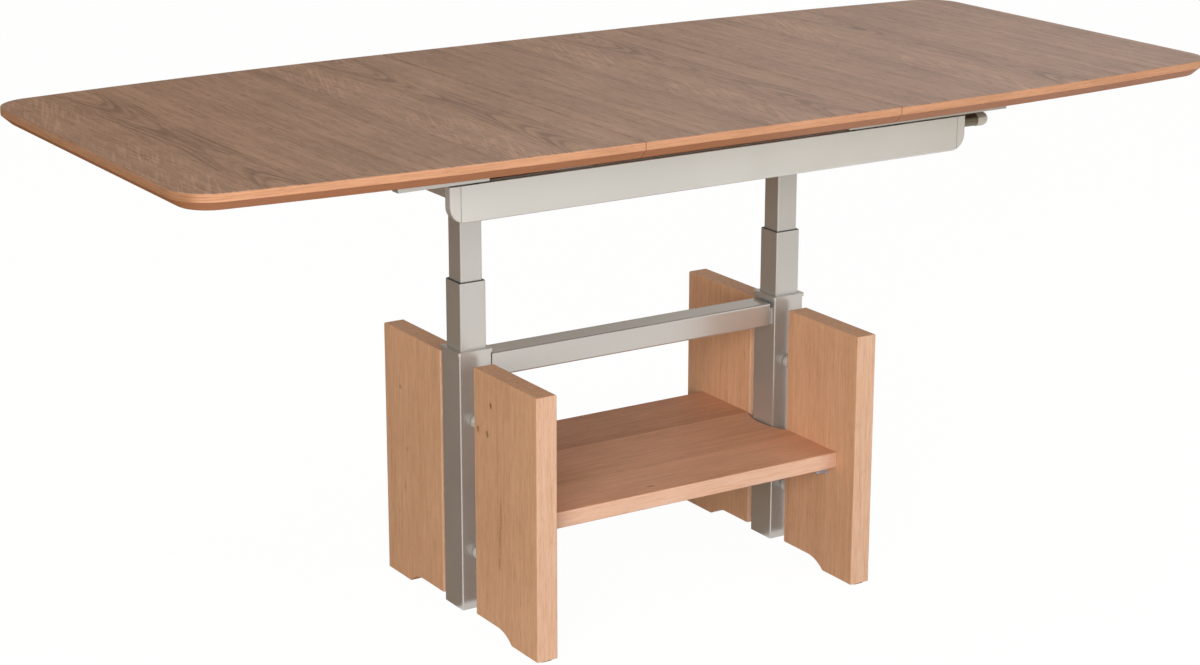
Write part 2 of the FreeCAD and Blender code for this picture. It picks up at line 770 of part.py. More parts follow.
# Base
for place, x in columns:
    for face, side in sides:
        write_node("panel_" + place + "_" + face, [panel(x, side)])
    write_node("outer_column_" + place, [outer_column(x)])
    write_node("column_collar_" + place, [collar(x)])
    write_node("gas_spring_cylinder_" + place, [gas_cylinder(x)])
corners = [(x, side) for place, x in columns for face, side in sides]
levels = (spacer_low, spacer_high)
write_node("column_foot_plates", [foot_plate(x) for place, x in columns])
write_node("gas_spring_seals", [gas_seal(x) for place, x in columns])
write_node("panel_spacers", [spacer(x, side, level) for x, side in corners for level in levels])
write_node("panel_studs", [stud(x, side, level) for x, side in corners for level in levels])
write_node("floor_glides", [floor_glide(x, side) for x, side in corners])
write_node("shelf", [shelf()])
write_node("shelf_supports", [shelf_support(sign, side) for sign in (-1, 1) for side in (-1, 1)])
write_node("stretcher", [stretcher()])
write_node("stretcher_end_plates", [stretcher_end_plate(sign) for sign in (-1, 1)])
screw_places = (-screw_spacing / 2, screw_spacing / 2)
write_node("stretcher_screws", [stretcher_screw(sign, y) for sign in (-1, 1) for y in screw_places])

# Middle tubes
for place, x in columns:
    write_node("middle_tube_" + place, [square_tube(x, middle_size, middle_bottom, middle_top)])
    write_node("middle_guides_" + place, middle_guides(x))

# Inner tubes and frame under the top
for place, x in columns:
    write_node("inner_tube_" + place, [square_tube(x, inner_size, inner_bottom, head_plate_bottom)])
    write_node("gas_spring_rod_" + place, [gas_rod(x)])
    write_node("cross_bearer_" + place, [bearer(x)])
write_node("inner_tube_guides", [inner_guide_ring(x) for place, x in columns])
write_node("head_plates", [head_plate(x) for place, x in columns])
write_node("apron_front", [apron()])
write_node("apron_rear", [turned(apron())])
front_right_cap = end_cap()
front_left_cap = front_right_cap.mirror(V(0, 0, 0), X_AXIS)
write_node("apron_end_caps", [front_right_cap, front_left_cap, turned(front_right_cap), turned(front_left_cap)])
write_node("end_rail_right", [end_rail()])
write_node("end_rail_left", [turned(end_rail())])
write_node("insert_angle_front", [insert_angle()])
write_node("insert_angle_rear", [turned(insert_angle())])
write_node("release_brackets", release_brackets())

# Release mechanism
lever_shaft_low_y = lever_y - hub_length / 2
rocker_low_y = link_y - 2 * link_thickness
write_node("release_lever", [release_lever()])
write_node("release_shaft", [crank_shaft(column_x, lever_shaft_low_y)])
write_node("release_rocker", [crank_shaft(-column_x, rocker_low_y)])
write_node("release_link", [release_link()])
write_node("valve_pins", [valve_pin(x) for place, x in columns])

# Leaves; the left one is the right one turned round
right_core, right_band, right_veneer = leaf_pieces()
right_runners, right_glides = leaf_runners()
write_node("leaf_core_right", [right_core])
write_node("leaf_edge_right", [right_band])
write_node("leaf_veneer_right", [right_veneer])
write_node("leaf_runners_right", right_runners)
write_node("leaf_glides_right", right_glides)
write_node("leaf_core_left", [turned(right_core)])
write_node("leaf_edge_left", [turned(right_band)])
write_node("leaf_veneer_left", [turned(right_veneer)])
write_node("leaf_runners_left", [turned(piece) for piece in right_runners])
write_node("leaf_glides_left", [turned(piece) for piece in right_glides])

# Insert
insert_core, insert_strips, insert_veneer = insert_pieces()
write_node("insert_core", [insert_core])
write_node("insert_edges", insert_strips)
write_node("insert_veneer", [insert_veneer])
write_node("insert_pegs", insert_pegs())
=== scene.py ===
import json
import math

import bpy
from mathutils import Matrix, Vector


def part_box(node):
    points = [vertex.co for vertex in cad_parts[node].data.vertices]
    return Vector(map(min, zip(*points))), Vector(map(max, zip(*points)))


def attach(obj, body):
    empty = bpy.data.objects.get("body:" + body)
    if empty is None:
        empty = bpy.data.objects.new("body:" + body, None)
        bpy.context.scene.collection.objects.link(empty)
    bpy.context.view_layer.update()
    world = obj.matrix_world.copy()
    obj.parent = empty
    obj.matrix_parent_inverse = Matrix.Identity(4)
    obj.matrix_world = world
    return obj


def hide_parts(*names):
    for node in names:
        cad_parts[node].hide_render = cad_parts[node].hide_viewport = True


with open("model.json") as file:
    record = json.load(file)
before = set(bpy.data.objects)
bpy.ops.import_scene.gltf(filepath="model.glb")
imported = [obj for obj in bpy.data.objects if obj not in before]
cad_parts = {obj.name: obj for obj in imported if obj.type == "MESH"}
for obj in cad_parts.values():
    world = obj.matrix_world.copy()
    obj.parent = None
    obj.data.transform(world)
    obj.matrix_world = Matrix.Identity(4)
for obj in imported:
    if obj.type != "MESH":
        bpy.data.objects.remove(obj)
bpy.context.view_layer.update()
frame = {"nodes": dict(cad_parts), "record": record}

# Four upright panels of solid oak, glued up from wide staves with the grain standing.
# Their edges are eased, their faces are oiled, and a few pin knots show, most in the left pair.


def link(tree, source, target):
    tree.links.new(source, target)


def feed(tree, value, socket):
    """Set a socket to a number or a colour, or link it to the socket that the value comes from."""
    if isinstance(value, (int, float)):
        socket.default_value = value
    elif isinstance(value, tuple):
        socket.default_value = (*value, 1.0) if socket.type == "RGBA" else value
    else:
        link(tree, value, socket)


def sum_node(tree, operation, first, second=None, third=None):
    """One arithmetic step."""
    node = tree.nodes.new("ShaderNodeMath")
    node.operation = operation
    for socket, value in zip(node.inputs, (first, second, third)):
        if value is not None:
            feed(tree, value, socket)
    return node.outputs[0]


def vector_step(tree, operation, first, second=None):
    """One step of vector arithmetic."""
    node = tree.nodes.new("ShaderNodeVectorMath")
    node.operation = operation
    for socket, value in zip(node.inputs, (first, second)):
        if value is not None:
            feed(tree, value, socket)
    return node.outputs["Value"] if operation == "LENGTH" else node.outputs[0]


def range_node(tree, value, low, high, to_low=0.0, to_high=1.0, smooth=True):
    """Bring a value from one range into another."""
    node = tree.nodes.new("ShaderNodeMapRange")
    node.interpolation_type = "SMOOTHSTEP" if smooth else "LINEAR"
    link(tree, value, node.inputs["Value"])
    for name, number in (("From Min", low), ("From Max", high), ("To Min", to_low), ("To Max", to_high)):
        node.inputs[name].default_value = number
    return node.outputs["Result"]


def combine_node(tree, x, y, z):
    node = tree.nodes.new("ShaderNodeCombineXYZ")
    for socket, value in zip(node.inputs, (x, y, z)):
        feed(tree, value, socket)
    return node.outputs[0]


def separate_node(tree, vector):
    node = tree.nodes.new("ShaderNodeSeparateXYZ")
    link(tree, vector, node.inputs[0])
    return node.outputs


def noise_node(tree, vector, scale, detail=2.0, roughness=0.5):
    node = tree.nodes.new("ShaderNodeTexNoise")
    node.inputs["Scale"].default_value = scale
    node.inputs["Detail"].default_value = detail
    node.inputs["Roughness"].default_value = roughness
    link(tree, vector, node.inputs["Vector"])
    return node.outputs["Fac"]


def mix_colour(tree, factor, first, second):
    node = tree.nodes.new("ShaderNodeMix")
    node.data_type = "RGBA"
    for socket, value in ((node.inputs[0], factor), (node.inputs[6], first), (node.inputs[7], second)):
        feed(tree, value, socket)
    return node.outputs[2]


def bump_node(tree, height, strength, distance):
    node = tree.nodes.new("ShaderNodeBump")
    node.inputs["Strength"].default_value = strength
    node.inputs["Distance"].default_value = distance
    link(tree, height, node.inputs["Height"])
    return node.outputs[0]


def place_group(tree, group):
    node = tree.nodes.new("ShaderNodeGroup")
    node.node_tree = group
    return node


def new_group(name, inputs, outputs):
    """An empty shader node group with number sockets, and what it is given and puts out."""
    group = bpy.data.node_groups.new(name, "ShaderNodeTree")
    for socket in inputs:
        group.interface.new_socket(name=socket, in_out="INPUT", socket_type="NodeSocketFloat")
    for socket in outputs:
        group.interface.new_socket(name=socket, in_out="OUTPUT", socket_type="NodeSocketFloat")
    return group, group.nodes.new("NodeGroupInput").outputs, group.nodes.new("NodeGroupOutput").inputs


def build_stave_rings():
    """Growth rings over glued staves, each from its own place in the log, and each stave's tone."""
    group, given, result = new_group(
        "stave_rings", ("Across", "Depth", "Along", "Stave Width", "First Joint", "Ring Spacing",
                        "Heart Depth", "Heart Offset", "Slope", "Wander"), ("Rings", "Tone"))
    across, depth, along = given["Across"], given["Depth"], given["Along"]
    place = sum_node(group, "SUBTRACT", across, given["First Joint"])
    place = sum_node(group, "DIVIDE", place, given["Stave Width"])
    index = sum_node(group, "FLOOR", place)
    board_spacing = 0.2
    board = sum_node(group, "ROUND", sum_node(group, "DIVIDE", depth, board_spacing))
    white = group.nodes.new("ShaderNodeTexWhiteNoise")
    link(group, combine_node(group, index, board, 0.5), white.inputs["Vector"])
    first, second, third = separate_node(group, white.outputs["Color"])

    # The trunk wanders slowly along its length.
    key = sum_node(group, "MULTIPLY_ADD", index, 5.1, sum_node(group, "MULTIPLY", board, 3.7))
    slow = combine_node(group, key, sum_node(group, "MULTIPLY", across, 3.0),
                        sum_node(group, "MULTIPLY", along, 2.6))
    drift = sum_node(group, "SUBTRACT", noise_node(group, slow, 1.0, 2.0), 0.5)
    drift = sum_node(group, "MULTIPLY", drift, given["Wander"])

    # Distance from the heart of the log, in rings.
    local = sum_node(group, "FRACT", place)
    shift = sum_node(group, "MULTIPLY", sum_node(group, "SUBTRACT", first, 0.5), 0.8)
    side = sum_node(group, "ADD", sum_node(group, "SUBTRACT", local, 0.5), shift)
    side = sum_node(group, "MULTIPLY_ADD", side, given["Stave Width"], given["Heart Offset"])
    side = sum_node(group, "ADD", side, drift)
    heart = sum_node(group, "MULTIPLY_ADD", second, 1.3, 0.35)
    heart = sum_node(group, "MULTIPLY", given["Heart Depth"], heart)
    lean = sum_node(group, "MULTIPLY", sum_node(group, "MULTIPLY_ADD", third, 2.0, -1.0), given["Slope"])
    deep = sum_node(group, "MULTIPLY_ADD", lean, along, sum_node(group, "ADD", heart, depth))
    radius = sum_node(group, "MULTIPLY_ADD", side, side, sum_node(group, "MULTIPLY", deep, deep))
    radius = sum_node(group, "SQRT", radius)
    link(group, sum_node(group, "DIVIDE", radius, given["Ring Spacing"]), result["Rings"])

    # A stave has its own tone, and is darker towards one of its joints.
    joint = sum_node(group, "POWER", sum_node(group, "SUBTRACT", 1.0, local), 3.0)
    tone = sum_node(group, "MULTIPLY_ADD", second, 0.6, sum_node(group, "MULTIPLY", joint, 0.5))
    link(group, tone, result["Tone"])
    return group


def build_oak_fibre():
    """What the saw lays open on any face of oak: ring lines, fibre streaks, pores and ray flecks."""
    group, given, result = new_group(
        "oak_fibre", ("Across", "Depth", "Along", "Rings"),
        ("Ring", "Streak", "Pores", "Flecks", "Height"))
    across, depth, along = given["Across"], given["Depth"], given["Along"]

    def stretched(share):
        return combine_node(group, across, depth, sum_node(group, "MULTIPLY", along, share))

    # Rings are unevenly wide, dark in the early wood, and come and go along the grain.
    # Some years in a row are darker than others.
    uneven = noise_node(group, combine_node(group, given["Rings"], 0.5, 0.0), 0.6, 2.0)
    phase = sum_node(group, "FRACT", sum_node(group, "MULTIPLY_ADD", uneven, 2.0, given["Rings"]))
    early = range_node(group, phase, 0.0, 0.60, 1.0, 0.0)
    late = range_node(group, phase, 0.85, 1.0)
    strength = range_node(group, noise_node(group, stretched(0.3), 26.0, 2.0), 0.3, 0.7, 0.3, 1.0)
    ring = sum_node(group, "MULTIPLY", sum_node(group, "MAXIMUM", early, late), strength)
    years = combine_node(group, sum_node(group, "MULTIPLY", given["Rings"], 0.36), 4.5, 0.0)
    years = range_node(group, noise_node(group, years, 1.0, 1.0), 0.36, 0.64)
    ring = sum_node(group, "MULTIPLY_ADD", ring, 0.7, sum_node(group, "MULTIPLY", years, 0.3))

    # Fibre streaks and open pores are drawn out along the grain, and pores crowd the early wood.
    coarse = range_node(group, noise_node(group, stretched(0.05), 190.0, 3.0, 0.6), 0.30, 0.70)
    fine = range_node(group, noise_node(group, stretched(0.06), 560.0, 2.0, 0.6), 0.32, 0.68)
    streak = sum_node(group, "MULTIPLY_ADD", fine, 0.5, sum_node(group, "MULTIPLY", coarse, 0.5))
    dots = range_node(group, noise_node(group, stretched(0.08), 700.0, 1.0, 0.5), 0.58, 0.72)
    pores = sum_node(group, "MULTIPLY", dots, sum_node(group, "MULTIPLY_ADD", ring, 0.6, 0.4))

    # Rays show as short pale flecks that lie across the grain, in patches.
    rays = combine_node(group, sum_node(group, "MULTIPLY", across, 0.25), depth, along)
    flecks = range_node(group, noise_node(group, rays, 430.0, 1.0), 0.58, 0.72)
    patch = range_node(group, noise_node(group, stretched(0.7), 19.0, 1.0), 0.48, 0.62)

    link(group, ring, result["Ring"])
    link(group, streak, result["Streak"])
    link(group, pores, result["Pores"])
    link(group, sum_node(group, "MULTIPLY", flecks, patch), result["Flecks"])
    height = sum_node(group, "MULTIPLY_ADD", pores, -0.7, sum_node(group, "MULTIPLY", ring, -0.3))
    link(group, height, result["Height"])
    return group


stave_rings = build_stave_rings()
oak_fibre = build_oak_fibre()


def new_material(name):
    """A material, its node tree and its main shader."""
    material = bpy.data.materials.new(name)
    material.use_nodes = True
    return material, material.node_tree, material.node_tree.nodes["Principled BSDF"]


def oak_finish(name, axes, cut, figure, colours, contrast, gloss, specular,
               painted_side_light=None, end_grain_and_painted_light=None, painted_under_shade=None, knots=()):
    """Oiled oak. The axes lie across, into and along the grain; the colours are light, dark and pore.

    The contrast holds the shares of rings, streaks, tone, flecks and pores. Side light, end tint and
    under shade give colours and shares for faces looking across the grain, along it and down: painted
    light and shade, and darker end grain.
    """
    material, tree, shader = new_material(name)
    texture = tree.nodes.new("ShaderNodeTexCoord")
    coordinates = texture.outputs["Object"]
    split = separate_node(tree, coordinates)
    facing = separate_node(tree, texture.outputs["Normal"])
    rings = place_group(tree, cut)
    fibre = place_group(tree, oak_fibre)
    for socket, axis in zip(("Across", "Depth", "Along"), axes):
        source = split[axis[0]]
        if len(axis) == 2:
            source = sum_node(tree, "ADD", source, split[axis[1]])
        link(tree, source, rings.inputs[socket])
        link(tree, source, fibre.inputs[socket])
    for socket, number in figure.items():
        rings.inputs[socket].default_value = number
    link(tree, rings.outputs["Rings"], fibre.inputs["Rings"])

    light, dark, pore = colours
    ring_share, streak_share, tone_share, fleck_share, pore_share = contrast
    if "Crown" in rings.outputs:
        crown_share = 0.32
        ring_share = sum_node(tree, "MULTIPLY_ADD", rings.outputs["Crown"], crown_share, ring_share)
    shade = sum_node(tree, "MULTIPLY", fibre.outputs["Ring"], ring_share)
    shade = sum_node(tree, "MULTIPLY_ADD", fibre.outputs["Streak"], streak_share, shade)
    shade = sum_node(tree, "MULTIPLY_ADD", rings.outputs["Tone"], tone_share, shade)
    shade = sum_node(tree, "MULTIPLY_ADD", fibre.outputs["Flecks"], -fleck_share, shade)
    if "Ripple" in rings.outputs:
        ripple_share = 0.34
        shade = sum_node(tree, "MULTIPLY_ADD", rings.outputs["Ripple"], -ripple_share, shade)
    cloud = range_node(tree, noise_node(tree, coordinates, 6.0, 2.0), 0.3, 0.7, -0.08, 0.08)
    colour = mix_colour(tree, sum_node(tree, "ADD", shade, cloud), light, dark)
    # Painted light and shade by which way a face looks, and darker end grain; the tint goes more into
    # pale fibres.
    for axis, tint in ((axes[0], painted_side_light), (axes[2][0], end_grain_and_painted_light)):
        if tint:
            uptake = sum_node(tree, "SUBTRACT", 1.5, fibre.outputs["Streak"])
            toward = range_node(tree, sum_node(tree, "ABSOLUTE", facing[axis]), 0.55, 0.85, 0.0, tint[1])
            colour = mix_colour(tree, sum_node(tree, "MULTIPLY", toward, uptake), colour, tint[0])
    # Faces that look down get painted shade.
    if painted_under_shade:
        toward = sum_node(tree, "MULTIPLY", facing["Z"], -1.0)
        colour = mix_colour(tree, range_node(tree, toward, 0.45, 0.95, 0.0, painted_under_shade[1]), colour, painted_under_shade[0])
    pores = fibre.outputs["Pores"]
    colour = mix_colour(tree, sum_node(tree, "MULTIPLY", pores, pore_share), colour, pore)
    if knots:
        ragged = range_node(tree, noise_node(tree, coordinates, 420.0, 2.0), 0.3, 0.7, 0.65, 1.35)
    for place, size, depth in knots:
        away = vector_step(tree, "DIVIDE", vector_step(tree, "SUBTRACT", coordinates, place), size)
        reach = sum_node(tree, "MULTIPLY", vector_step(tree, "LENGTH", away), ragged)
        colour = mix_colour(tree, range_node(tree, reach, 0.4, 1.4, depth, 0.0), colour, pore)
    link(tree, colour, shader.inputs["Base Color"])
    pore_dullness = 0.18
    link(tree, sum_node(tree, "MULTIPLY_ADD", pores, pore_dullness, gloss), shader.inputs["Roughness"])
    shader.inputs["Specular IOR Level"].default_value = specular
    relief = bump_node(tree, fibre.outputs["Height"], strength=0.25, distance=0.0003)
    link(tree, relief, shader.inputs["Normal"])
    return material


def dress(material, *names):
    """Give CAD nodes their finish."""
    for name in names:
        slots = frame["nodes"][name].data.materials
        slots.clear()
        slots.append(material)


left_face_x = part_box("panel_left_front")[0].x
right_face_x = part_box("panel_right_front")[1].x
panel_knots = (
    ((left_face_x, -0.0922, 0.3300), (0.012, 0.0030, 0.0046), 0.90),
    ((left_face_x, -0.0573, 0.2883), (0.010, 0.0026, 0.0050), 0.75),
    ((left_face_x, -0.0822, 0.2880), (0.010, 0.0030, 0.0050), 0.75),
    ((left_face_x, -0.1165, 0.1850), (0.008, 0.0030, 0.0200), 0.32),
    ((left_face_x, -0.1135, 0.1450), (0.008, 0.0032, 0.0260), 0.34),
    ((left_face_x, -0.1120, 0.1120), (0.008, 0.0030, 0.0110), 0.38),
    ((left_face_x, 0.1634, 0.2887), (0.010, 0.0022, 0.0030), 0.55),
    ((left_face_x, 0.1450, 0.2010), (0.010, 0.0026, 0.0030), 0.40),
    ((left_face_x, 0.1535, 0.1420), (0.010, 0.0018, 0.0070), 0.35),
    ((right_face_x, -0.1100, 0.2450), (0.012, 0.0026, 0.0060), 0.50),
    ((right_face_x, 0.0900, 0.1200), (0.012, 0.0022, 0.0050), 0.45),
)
oak_pore = (0.24, 0.100, 0.045)
# Painted light: the panels' edges get a paler tint, and their tops a lighter, warmer one.
panel_oak = oak_finish(
    "oiled_panel_oak", ("Y", "X", "Z"), stave_rings,
    {"Stave Width": 0.082, "First Joint": 0.021, "Ring Spacing": 0.0034, "Heart Depth": 0.10,
     "Heart Offset": 0.16, "Slope": 0.006, "Wander": 0.010},
    ((0.810, 0.460, 0.265), (0.580, 0.308, 0.166), oak_pore),
    contrast=(0.22, 0.60, 0.20, 0.16, 0.30), gloss=0.52, specular=0.12,
    painted_side_light=((0.82, 0.56, 0.42), 0.45), end_grain_and_painted_light=((0.98, 0.57, 0.34), 0.55), knots=panel_knots)
dress(panel_oak, "panel_left_front", "panel_left_rear", "panel_right_front", "panel_right_rear")

# Nylon glides pinned under the outer feet of the panels.
# They are moulded in brown and keep the end grain off the floor.


def build_mould_texture():
    """Faint patches of tone and the fine spark-eroded grain of a mould."""
    group, _, result = new_group("mould_texture", (), ("Patch", "Grain"))
    coordinates = group.nodes.new("ShaderNodeTexCoord").outputs["Object"]
    link(group, noise_node(group, coordinates, 40.0, 3.0), result["Patch"])
    link(group, noise_node(group, coordinates, 1200.0, 2.0), result["Grain"])
    return group


mould_texture = build_mould_texture()


def moulded_plastic(name, colour, roughness, relief=0.12):
    """Injection moulded plastic."""
    material, tree, shader = new_material(name)
    texture = place_group(tree, mould_texture)
    patch = texture.outputs["Patch"]
    darker = tuple(channel * 0.82 for channel in colour)
    link(tree, mix_colour(tree, patch, darker, colour), shader.inputs["Base Color"])
    uneven = range_node(tree, patch, 0.3, 0.7, roughness - 0.05, roughness + 0.05)
    link(tree, uneven, shader.inputs["Roughness"])
    grain = bump_node(tree, texture.outputs["Grain"], strength=relief, distance=0.0002)
    link(tree, grain, shader.inputs["Normal"])
    return material


brown_nylon = moulded_plastic("brown_nylon", (0.22, 0.12, 0.06), 0.55)
dress(brown_nylon, "floor_glides")

# Two outer columns of square steel tube with round corners, each on a plug plate at its foot.
# They are sprayed with a satin champagne metallic paint.


def build_sprayed_coat():
    """Metallic flake, slow clouds of tone and the orange peel of a sprayed coat."""
    group, _, result = new_group("sprayed_coat", (), ("Tone", "Cloud", "Peel"))
    coordinates = group.nodes.new("ShaderNodeTexCoord").outputs["Object"]
    flake = range_node(group, noise_node(group, coordinates, 1500.0, 1.0), 0.35, 0.65)
    cloud = range_node(group, noise_node(group, coordinates, 7.0, 3.0), 0.3, 0.7)
    tone = sum_node(group, "MULTIPLY_ADD", flake, 0.35, sum_node(group, "MULTIPLY", cloud, 0.65))
    link(group, tone, result["Tone"])
    link(group, cloud, result["Cloud"])
    link(group, noise_node(group, coordinates, 320.0, 1.0), result["Peel"])
    return group


sprayed_coat = build_sprayed_coat()


def metal_finish(name, colour, metallic, roughness, coat=0.0):
    """Painted, plated or polished metal."""
    material, tree, shader = new_material(name)
    texture = place_group(tree, sprayed_coat)
    darker = tuple(channel * 0.96 for channel in colour)
    brighter = tuple(min(channel * 1.04, 1.0) for channel in colour)
    link(tree, mix_colour(tree, texture.outputs["Tone"], darker, brighter), shader.inputs["Base Color"])
    uneven = range_node(tree, texture.outputs["Cloud"], 0.0, 1.0, roughness - 0.03, roughness + 0.03)
    link(tree, uneven, shader.inputs["Roughness"])
    shader.inputs["Metallic"].default_value = metallic
    shader.inputs["Coat Weight"].default_value = coat
    shader.inputs["Coat Roughness"].default_value = 0.25
    peel = bump_node(tree, texture.outputs["Peel"], strength=0.02, distance=0.0002)
    link(tree, peel, shader.inputs["Normal"])
    return material


champagne_paint = metal_finish("champagne_paint", (0.576, 0.550, 0.510), metallic=0.60, roughness=0.24)
dress(champagne_paint, "outer_column_left", "outer_column_right", "column_foot_plates")

# Spacers between column and panel, turned with round shoulders and a waist, and the studs in them.
# The spacers are powder coated in a paler, duller tone than the columns, the studs are zinc plated.
smooth_angle = math.radians(40.0)


def turned_piece(base, axis, outline, steps=48):
    """Spin an outline of (distance along the axis, radius), in millimetres, round that axis."""
    bpy.ops.object.select_all(action="DESELECT")
    along = Vector(axis)
    upward = Vector((0.0, 0.0, 1.0))
    points = [Vector(base) + along * (distance / 1000.0) + upward * (radius / 1000.0)
              for distance, radius in outline]
    bpy.ops.mesh.primitive_plane_add(size=0.002, location=points[0])
    bpy.ops.object.mode_set(mode="EDIT")
    bpy.ops.mesh.merge(type="CENTER")
    for start, end in zip(points, points[1:]):
        bpy.ops.mesh.extrude_region_move(TRANSFORM_OT_translate={"value": end - start})
    bpy.ops.mesh.select_all(action="SELECT")
    bpy.ops.mesh.spin(steps=steps, angle=2.0 * math.pi, center=base, axis=along)
    bpy.ops.mesh.select_all(action="SELECT")
    bpy.ops.mesh.remove_doubles(threshold=0.000001)
    bpy.ops.mesh.normals_make_consistent(inside=False)
    bpy.ops.object.mode_set(mode="OBJECT")
    bpy.ops.object.transform_apply(location=True, rotation=True, scale=True)
    bpy.ops.object.shade_smooth_by_angle(angle=smooth_angle)
    return bpy.context.active_object


def copied(piece, offset):
    """A copy of a piece with its own mesh, moved by an offset that goes into the mesh."""
    bpy.ops.object.select_all(action="DESELECT")
    piece.select_set(True)
    bpy.context.view_layer.objects.active = piece
    bpy.ops.object.duplicate_move(TRANSFORM_OT_translate={"value": offset})
    bpy.ops.object.transform_apply(location=True, rotation=True, scale=True)
    return bpy.context.active_object


def joined(name, pieces):
    """Separate copies kept together as one object."""
    bpy.ops.object.select_all(action="DESELECT")
    for piece in pieces:
        piece.select_set(True)
    bpy.context.view_layer.objects.active = pieces[0]
    bpy.ops.object.join()
    whole = bpy.context.active_object
    whole.name = name
    return whole


def finish_piece(piece, material, slot, body, *replaced):
    """Give a new piece its finish and its place in the assembly."""
    piece.data.materials.clear()
    piece.data.materials.append(material)
    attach(piece, body)
    if replaced:
        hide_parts(*replaced)


zinc_steel = metal_finish("zinc_plated_steel", (0.58, 0.58, 0.57), metallic=0.95, roughness=0.34)
dress(zinc_steel, "panel_studs")
column_low, column_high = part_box("outer_column_left")
spacers_low, spacers_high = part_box("panel_spacers")
column_x = (column_low.x + column_high.x) / 2.0
spacer_radius = spacers_high.x + column_x
spacer_length = (column_low.y - spacers_low.y) * 1000.0
low_level = spacers_low.z + spacer_radius
high_level = spacers_high.z - spacer_radius
shoulder = ((0.0, 4.1), (0.0, 7.6), (0.5, 8.9), (1.4, 9.7), (2.6, 10.0), (7.4, 10.0), (8.2, 9.7),
            (8.8, 9.3))
far_shoulder = [(spacer_length - distance, radius) for distance, radius in reversed(shoulder)]
first_spacer = turned_piece(
    (column_x, spacers_low.y, low_level), (0.0, 1.0, 0.0), (*shoulder, *far_shoulder, shoulder[0]))
spacers = [first_spacer]
for step_x in (0.0, -2.0 * column_x):
    for step_y in (0.0, column_high.y - spacers_low.y):
        for step_z in (0.0, high_level - low_level):
            if step_x or step_y or step_z:
                spacers.append(copied(first_spacer, (step_x, step_y, step_z)))
turned_spacers = joined("turned_spacers", spacers)
spacer_coat = metal_finish("spacer_powder_coat", (0.62, 0.60, 0.56), metallic=0.35, roughness=0.50)
finish_piece(turned_spacers, spacer_coat, "satin_paint", "base", "panel_spacers")

# Gas springs that stand inside the columns: black pressure tube, seal head, bright rod.
# They are hidden at rest, but belong to the lift.
black_enamel = metal_finish(
    "black_enamel", (0.025, 0.025, 0.027), metallic=0.0, roughness=0.35, coat=0.3)
bright_rod = metal_finish("bright_rod", (0.72, 0.72, 0.73), metallic=1.0, roughness=0.12)
dress(black_enamel, "gas_spring_cylinder_left", "gas_spring_cylinder_right", "gas_spring_seals")
dress(bright_rod, "gas_spring_rod_left", "gas_spring_rod_right", "valve_pins")

# Collars on the outer tubes, then the middle and inner tubes that slide in them.
# Black plastic bushes guide each stage; the rim of one shows at the top of the middle tube.
dark_bush = moulded_plastic("black_bush_plastic", (0.045, 0.043, 0.040), 0.5)
dress(champagne_paint, "column_collar_left", "column_collar_right", "middle_tube_left",
      "middle_tube_right", "inner_tube_left", "inner_tube_right")
dress(dark_bush, "middle_guides_left", "middle_guides_right", "inner_tube_guides")

# Stretcher of box tube between the columns, on end plates screwed to them.
# All of it is sprayed with the columns' paint; the screws are inside the tube.
dress(champagne_paint, "stretcher", "stretcher_end_plates")
dress(zinc_steel, "stretcher_screws")

# Clear moulded supports: a ledge and a back plate stiffened by a round nose, with a peg in the panel.
# The oak shelf lies on them, glued up from long staves and hollowed at its ends to pass the columns.


def eased_block(low, high, ease):
    """A moulded block between two corners, its edges rounded over."""
    bpy.ops.object.select_all(action="DESELECT")
    low, high = Vector(low), Vector(high)
    bpy.ops.mesh.primitive_cube_add(size=1.0, location=(low + high) / 2.0, scale=high - low)
    bpy.ops.object.transform_apply(location=True, rotation=True, scale=True)
    bpy.ops.object.mode_set(mode="EDIT")
    bpy.ops.mesh.select_all(action="SELECT")
    bpy.ops.mesh.bevel(offset=ease, segments=3, affect="EDGES")
    bpy.ops.mesh.normals_make_consistent(inside=False)
    bpy.ops.object.mode_set(mode="OBJECT")
    return bpy.context.active_object


def welded(body, *others):
    """Overlapping pieces made into one closed shell."""
    for other in others:
        bpy.ops.object.select_all(action="DESELECT")
        body.select_set(True)
        bpy.context.view_layer.objects.active = body
        weld = body.modifiers.new("weld", "BOOLEAN")
        weld.operation = "UNION"
        weld.solver = "EXACT"
        weld.object = other
        bpy.ops.object.modifier_apply(modifier=weld.name)
        body.select_set(False)
        other.select_set(True)
        bpy.context.view_layer.objects.active = other
        bpy.ops.object.delete()
    body.select_set(True)
    bpy.context.view_layer.objects.active = body
    bpy.ops.object.shade_smooth_by_angle(angle=smooth_angle)
    return body


def half_turned(piece):
    """A copy of a piece for the other side, turned half round the table's upright axis."""
    copied(piece, (0.0, 0.0, 0.0))
    bpy.ops.transform.rotate(value=math.pi, orient_axis="Z", center_override=(0.0, 0.0, 0.0))
    bpy.ops.object.transform_apply(location=True, rotation=True, scale=True)
    return bpy.context.active_object


supports_low, supports_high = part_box("shelf_supports")
support_wall_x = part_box("panel_right_rear")[0].x
support_width = 0.013
support_reach = 0.018
ledge_thickness = 0.0024
back_thickness = 0.0022
support_ease = 0.0006
nose_drop = 0.0088
support_tip_x = support_wall_x - support_reach
support_side_y = supports_high.y - support_width
support_top = Vector((support_wall_x, supports_high.y, supports_high.z))
support_ledge = eased_block(
    (support_tip_x, support_side_y, supports_high.z - ledge_thickness), support_top, support_ease)
support_back = eased_block(
    (support_wall_x - back_thickness, support_side_y, supports_low.z), support_top, support_ease)
nose_base = (support_wall_x, supports_high.y - support_width / 2.0, supports_high.z - nose_drop)
nose_outline = ((-9.0, 0.0), (-9.0, 1.9), (-8.4, 2.5), (0.0, 2.5), (0.0, 6.2), (1.6, 6.2), (14.4, 6.2),
                (16.4, 5.6), (17.6, 4.2), (18.0, 2.0), (18.0, 0.0))
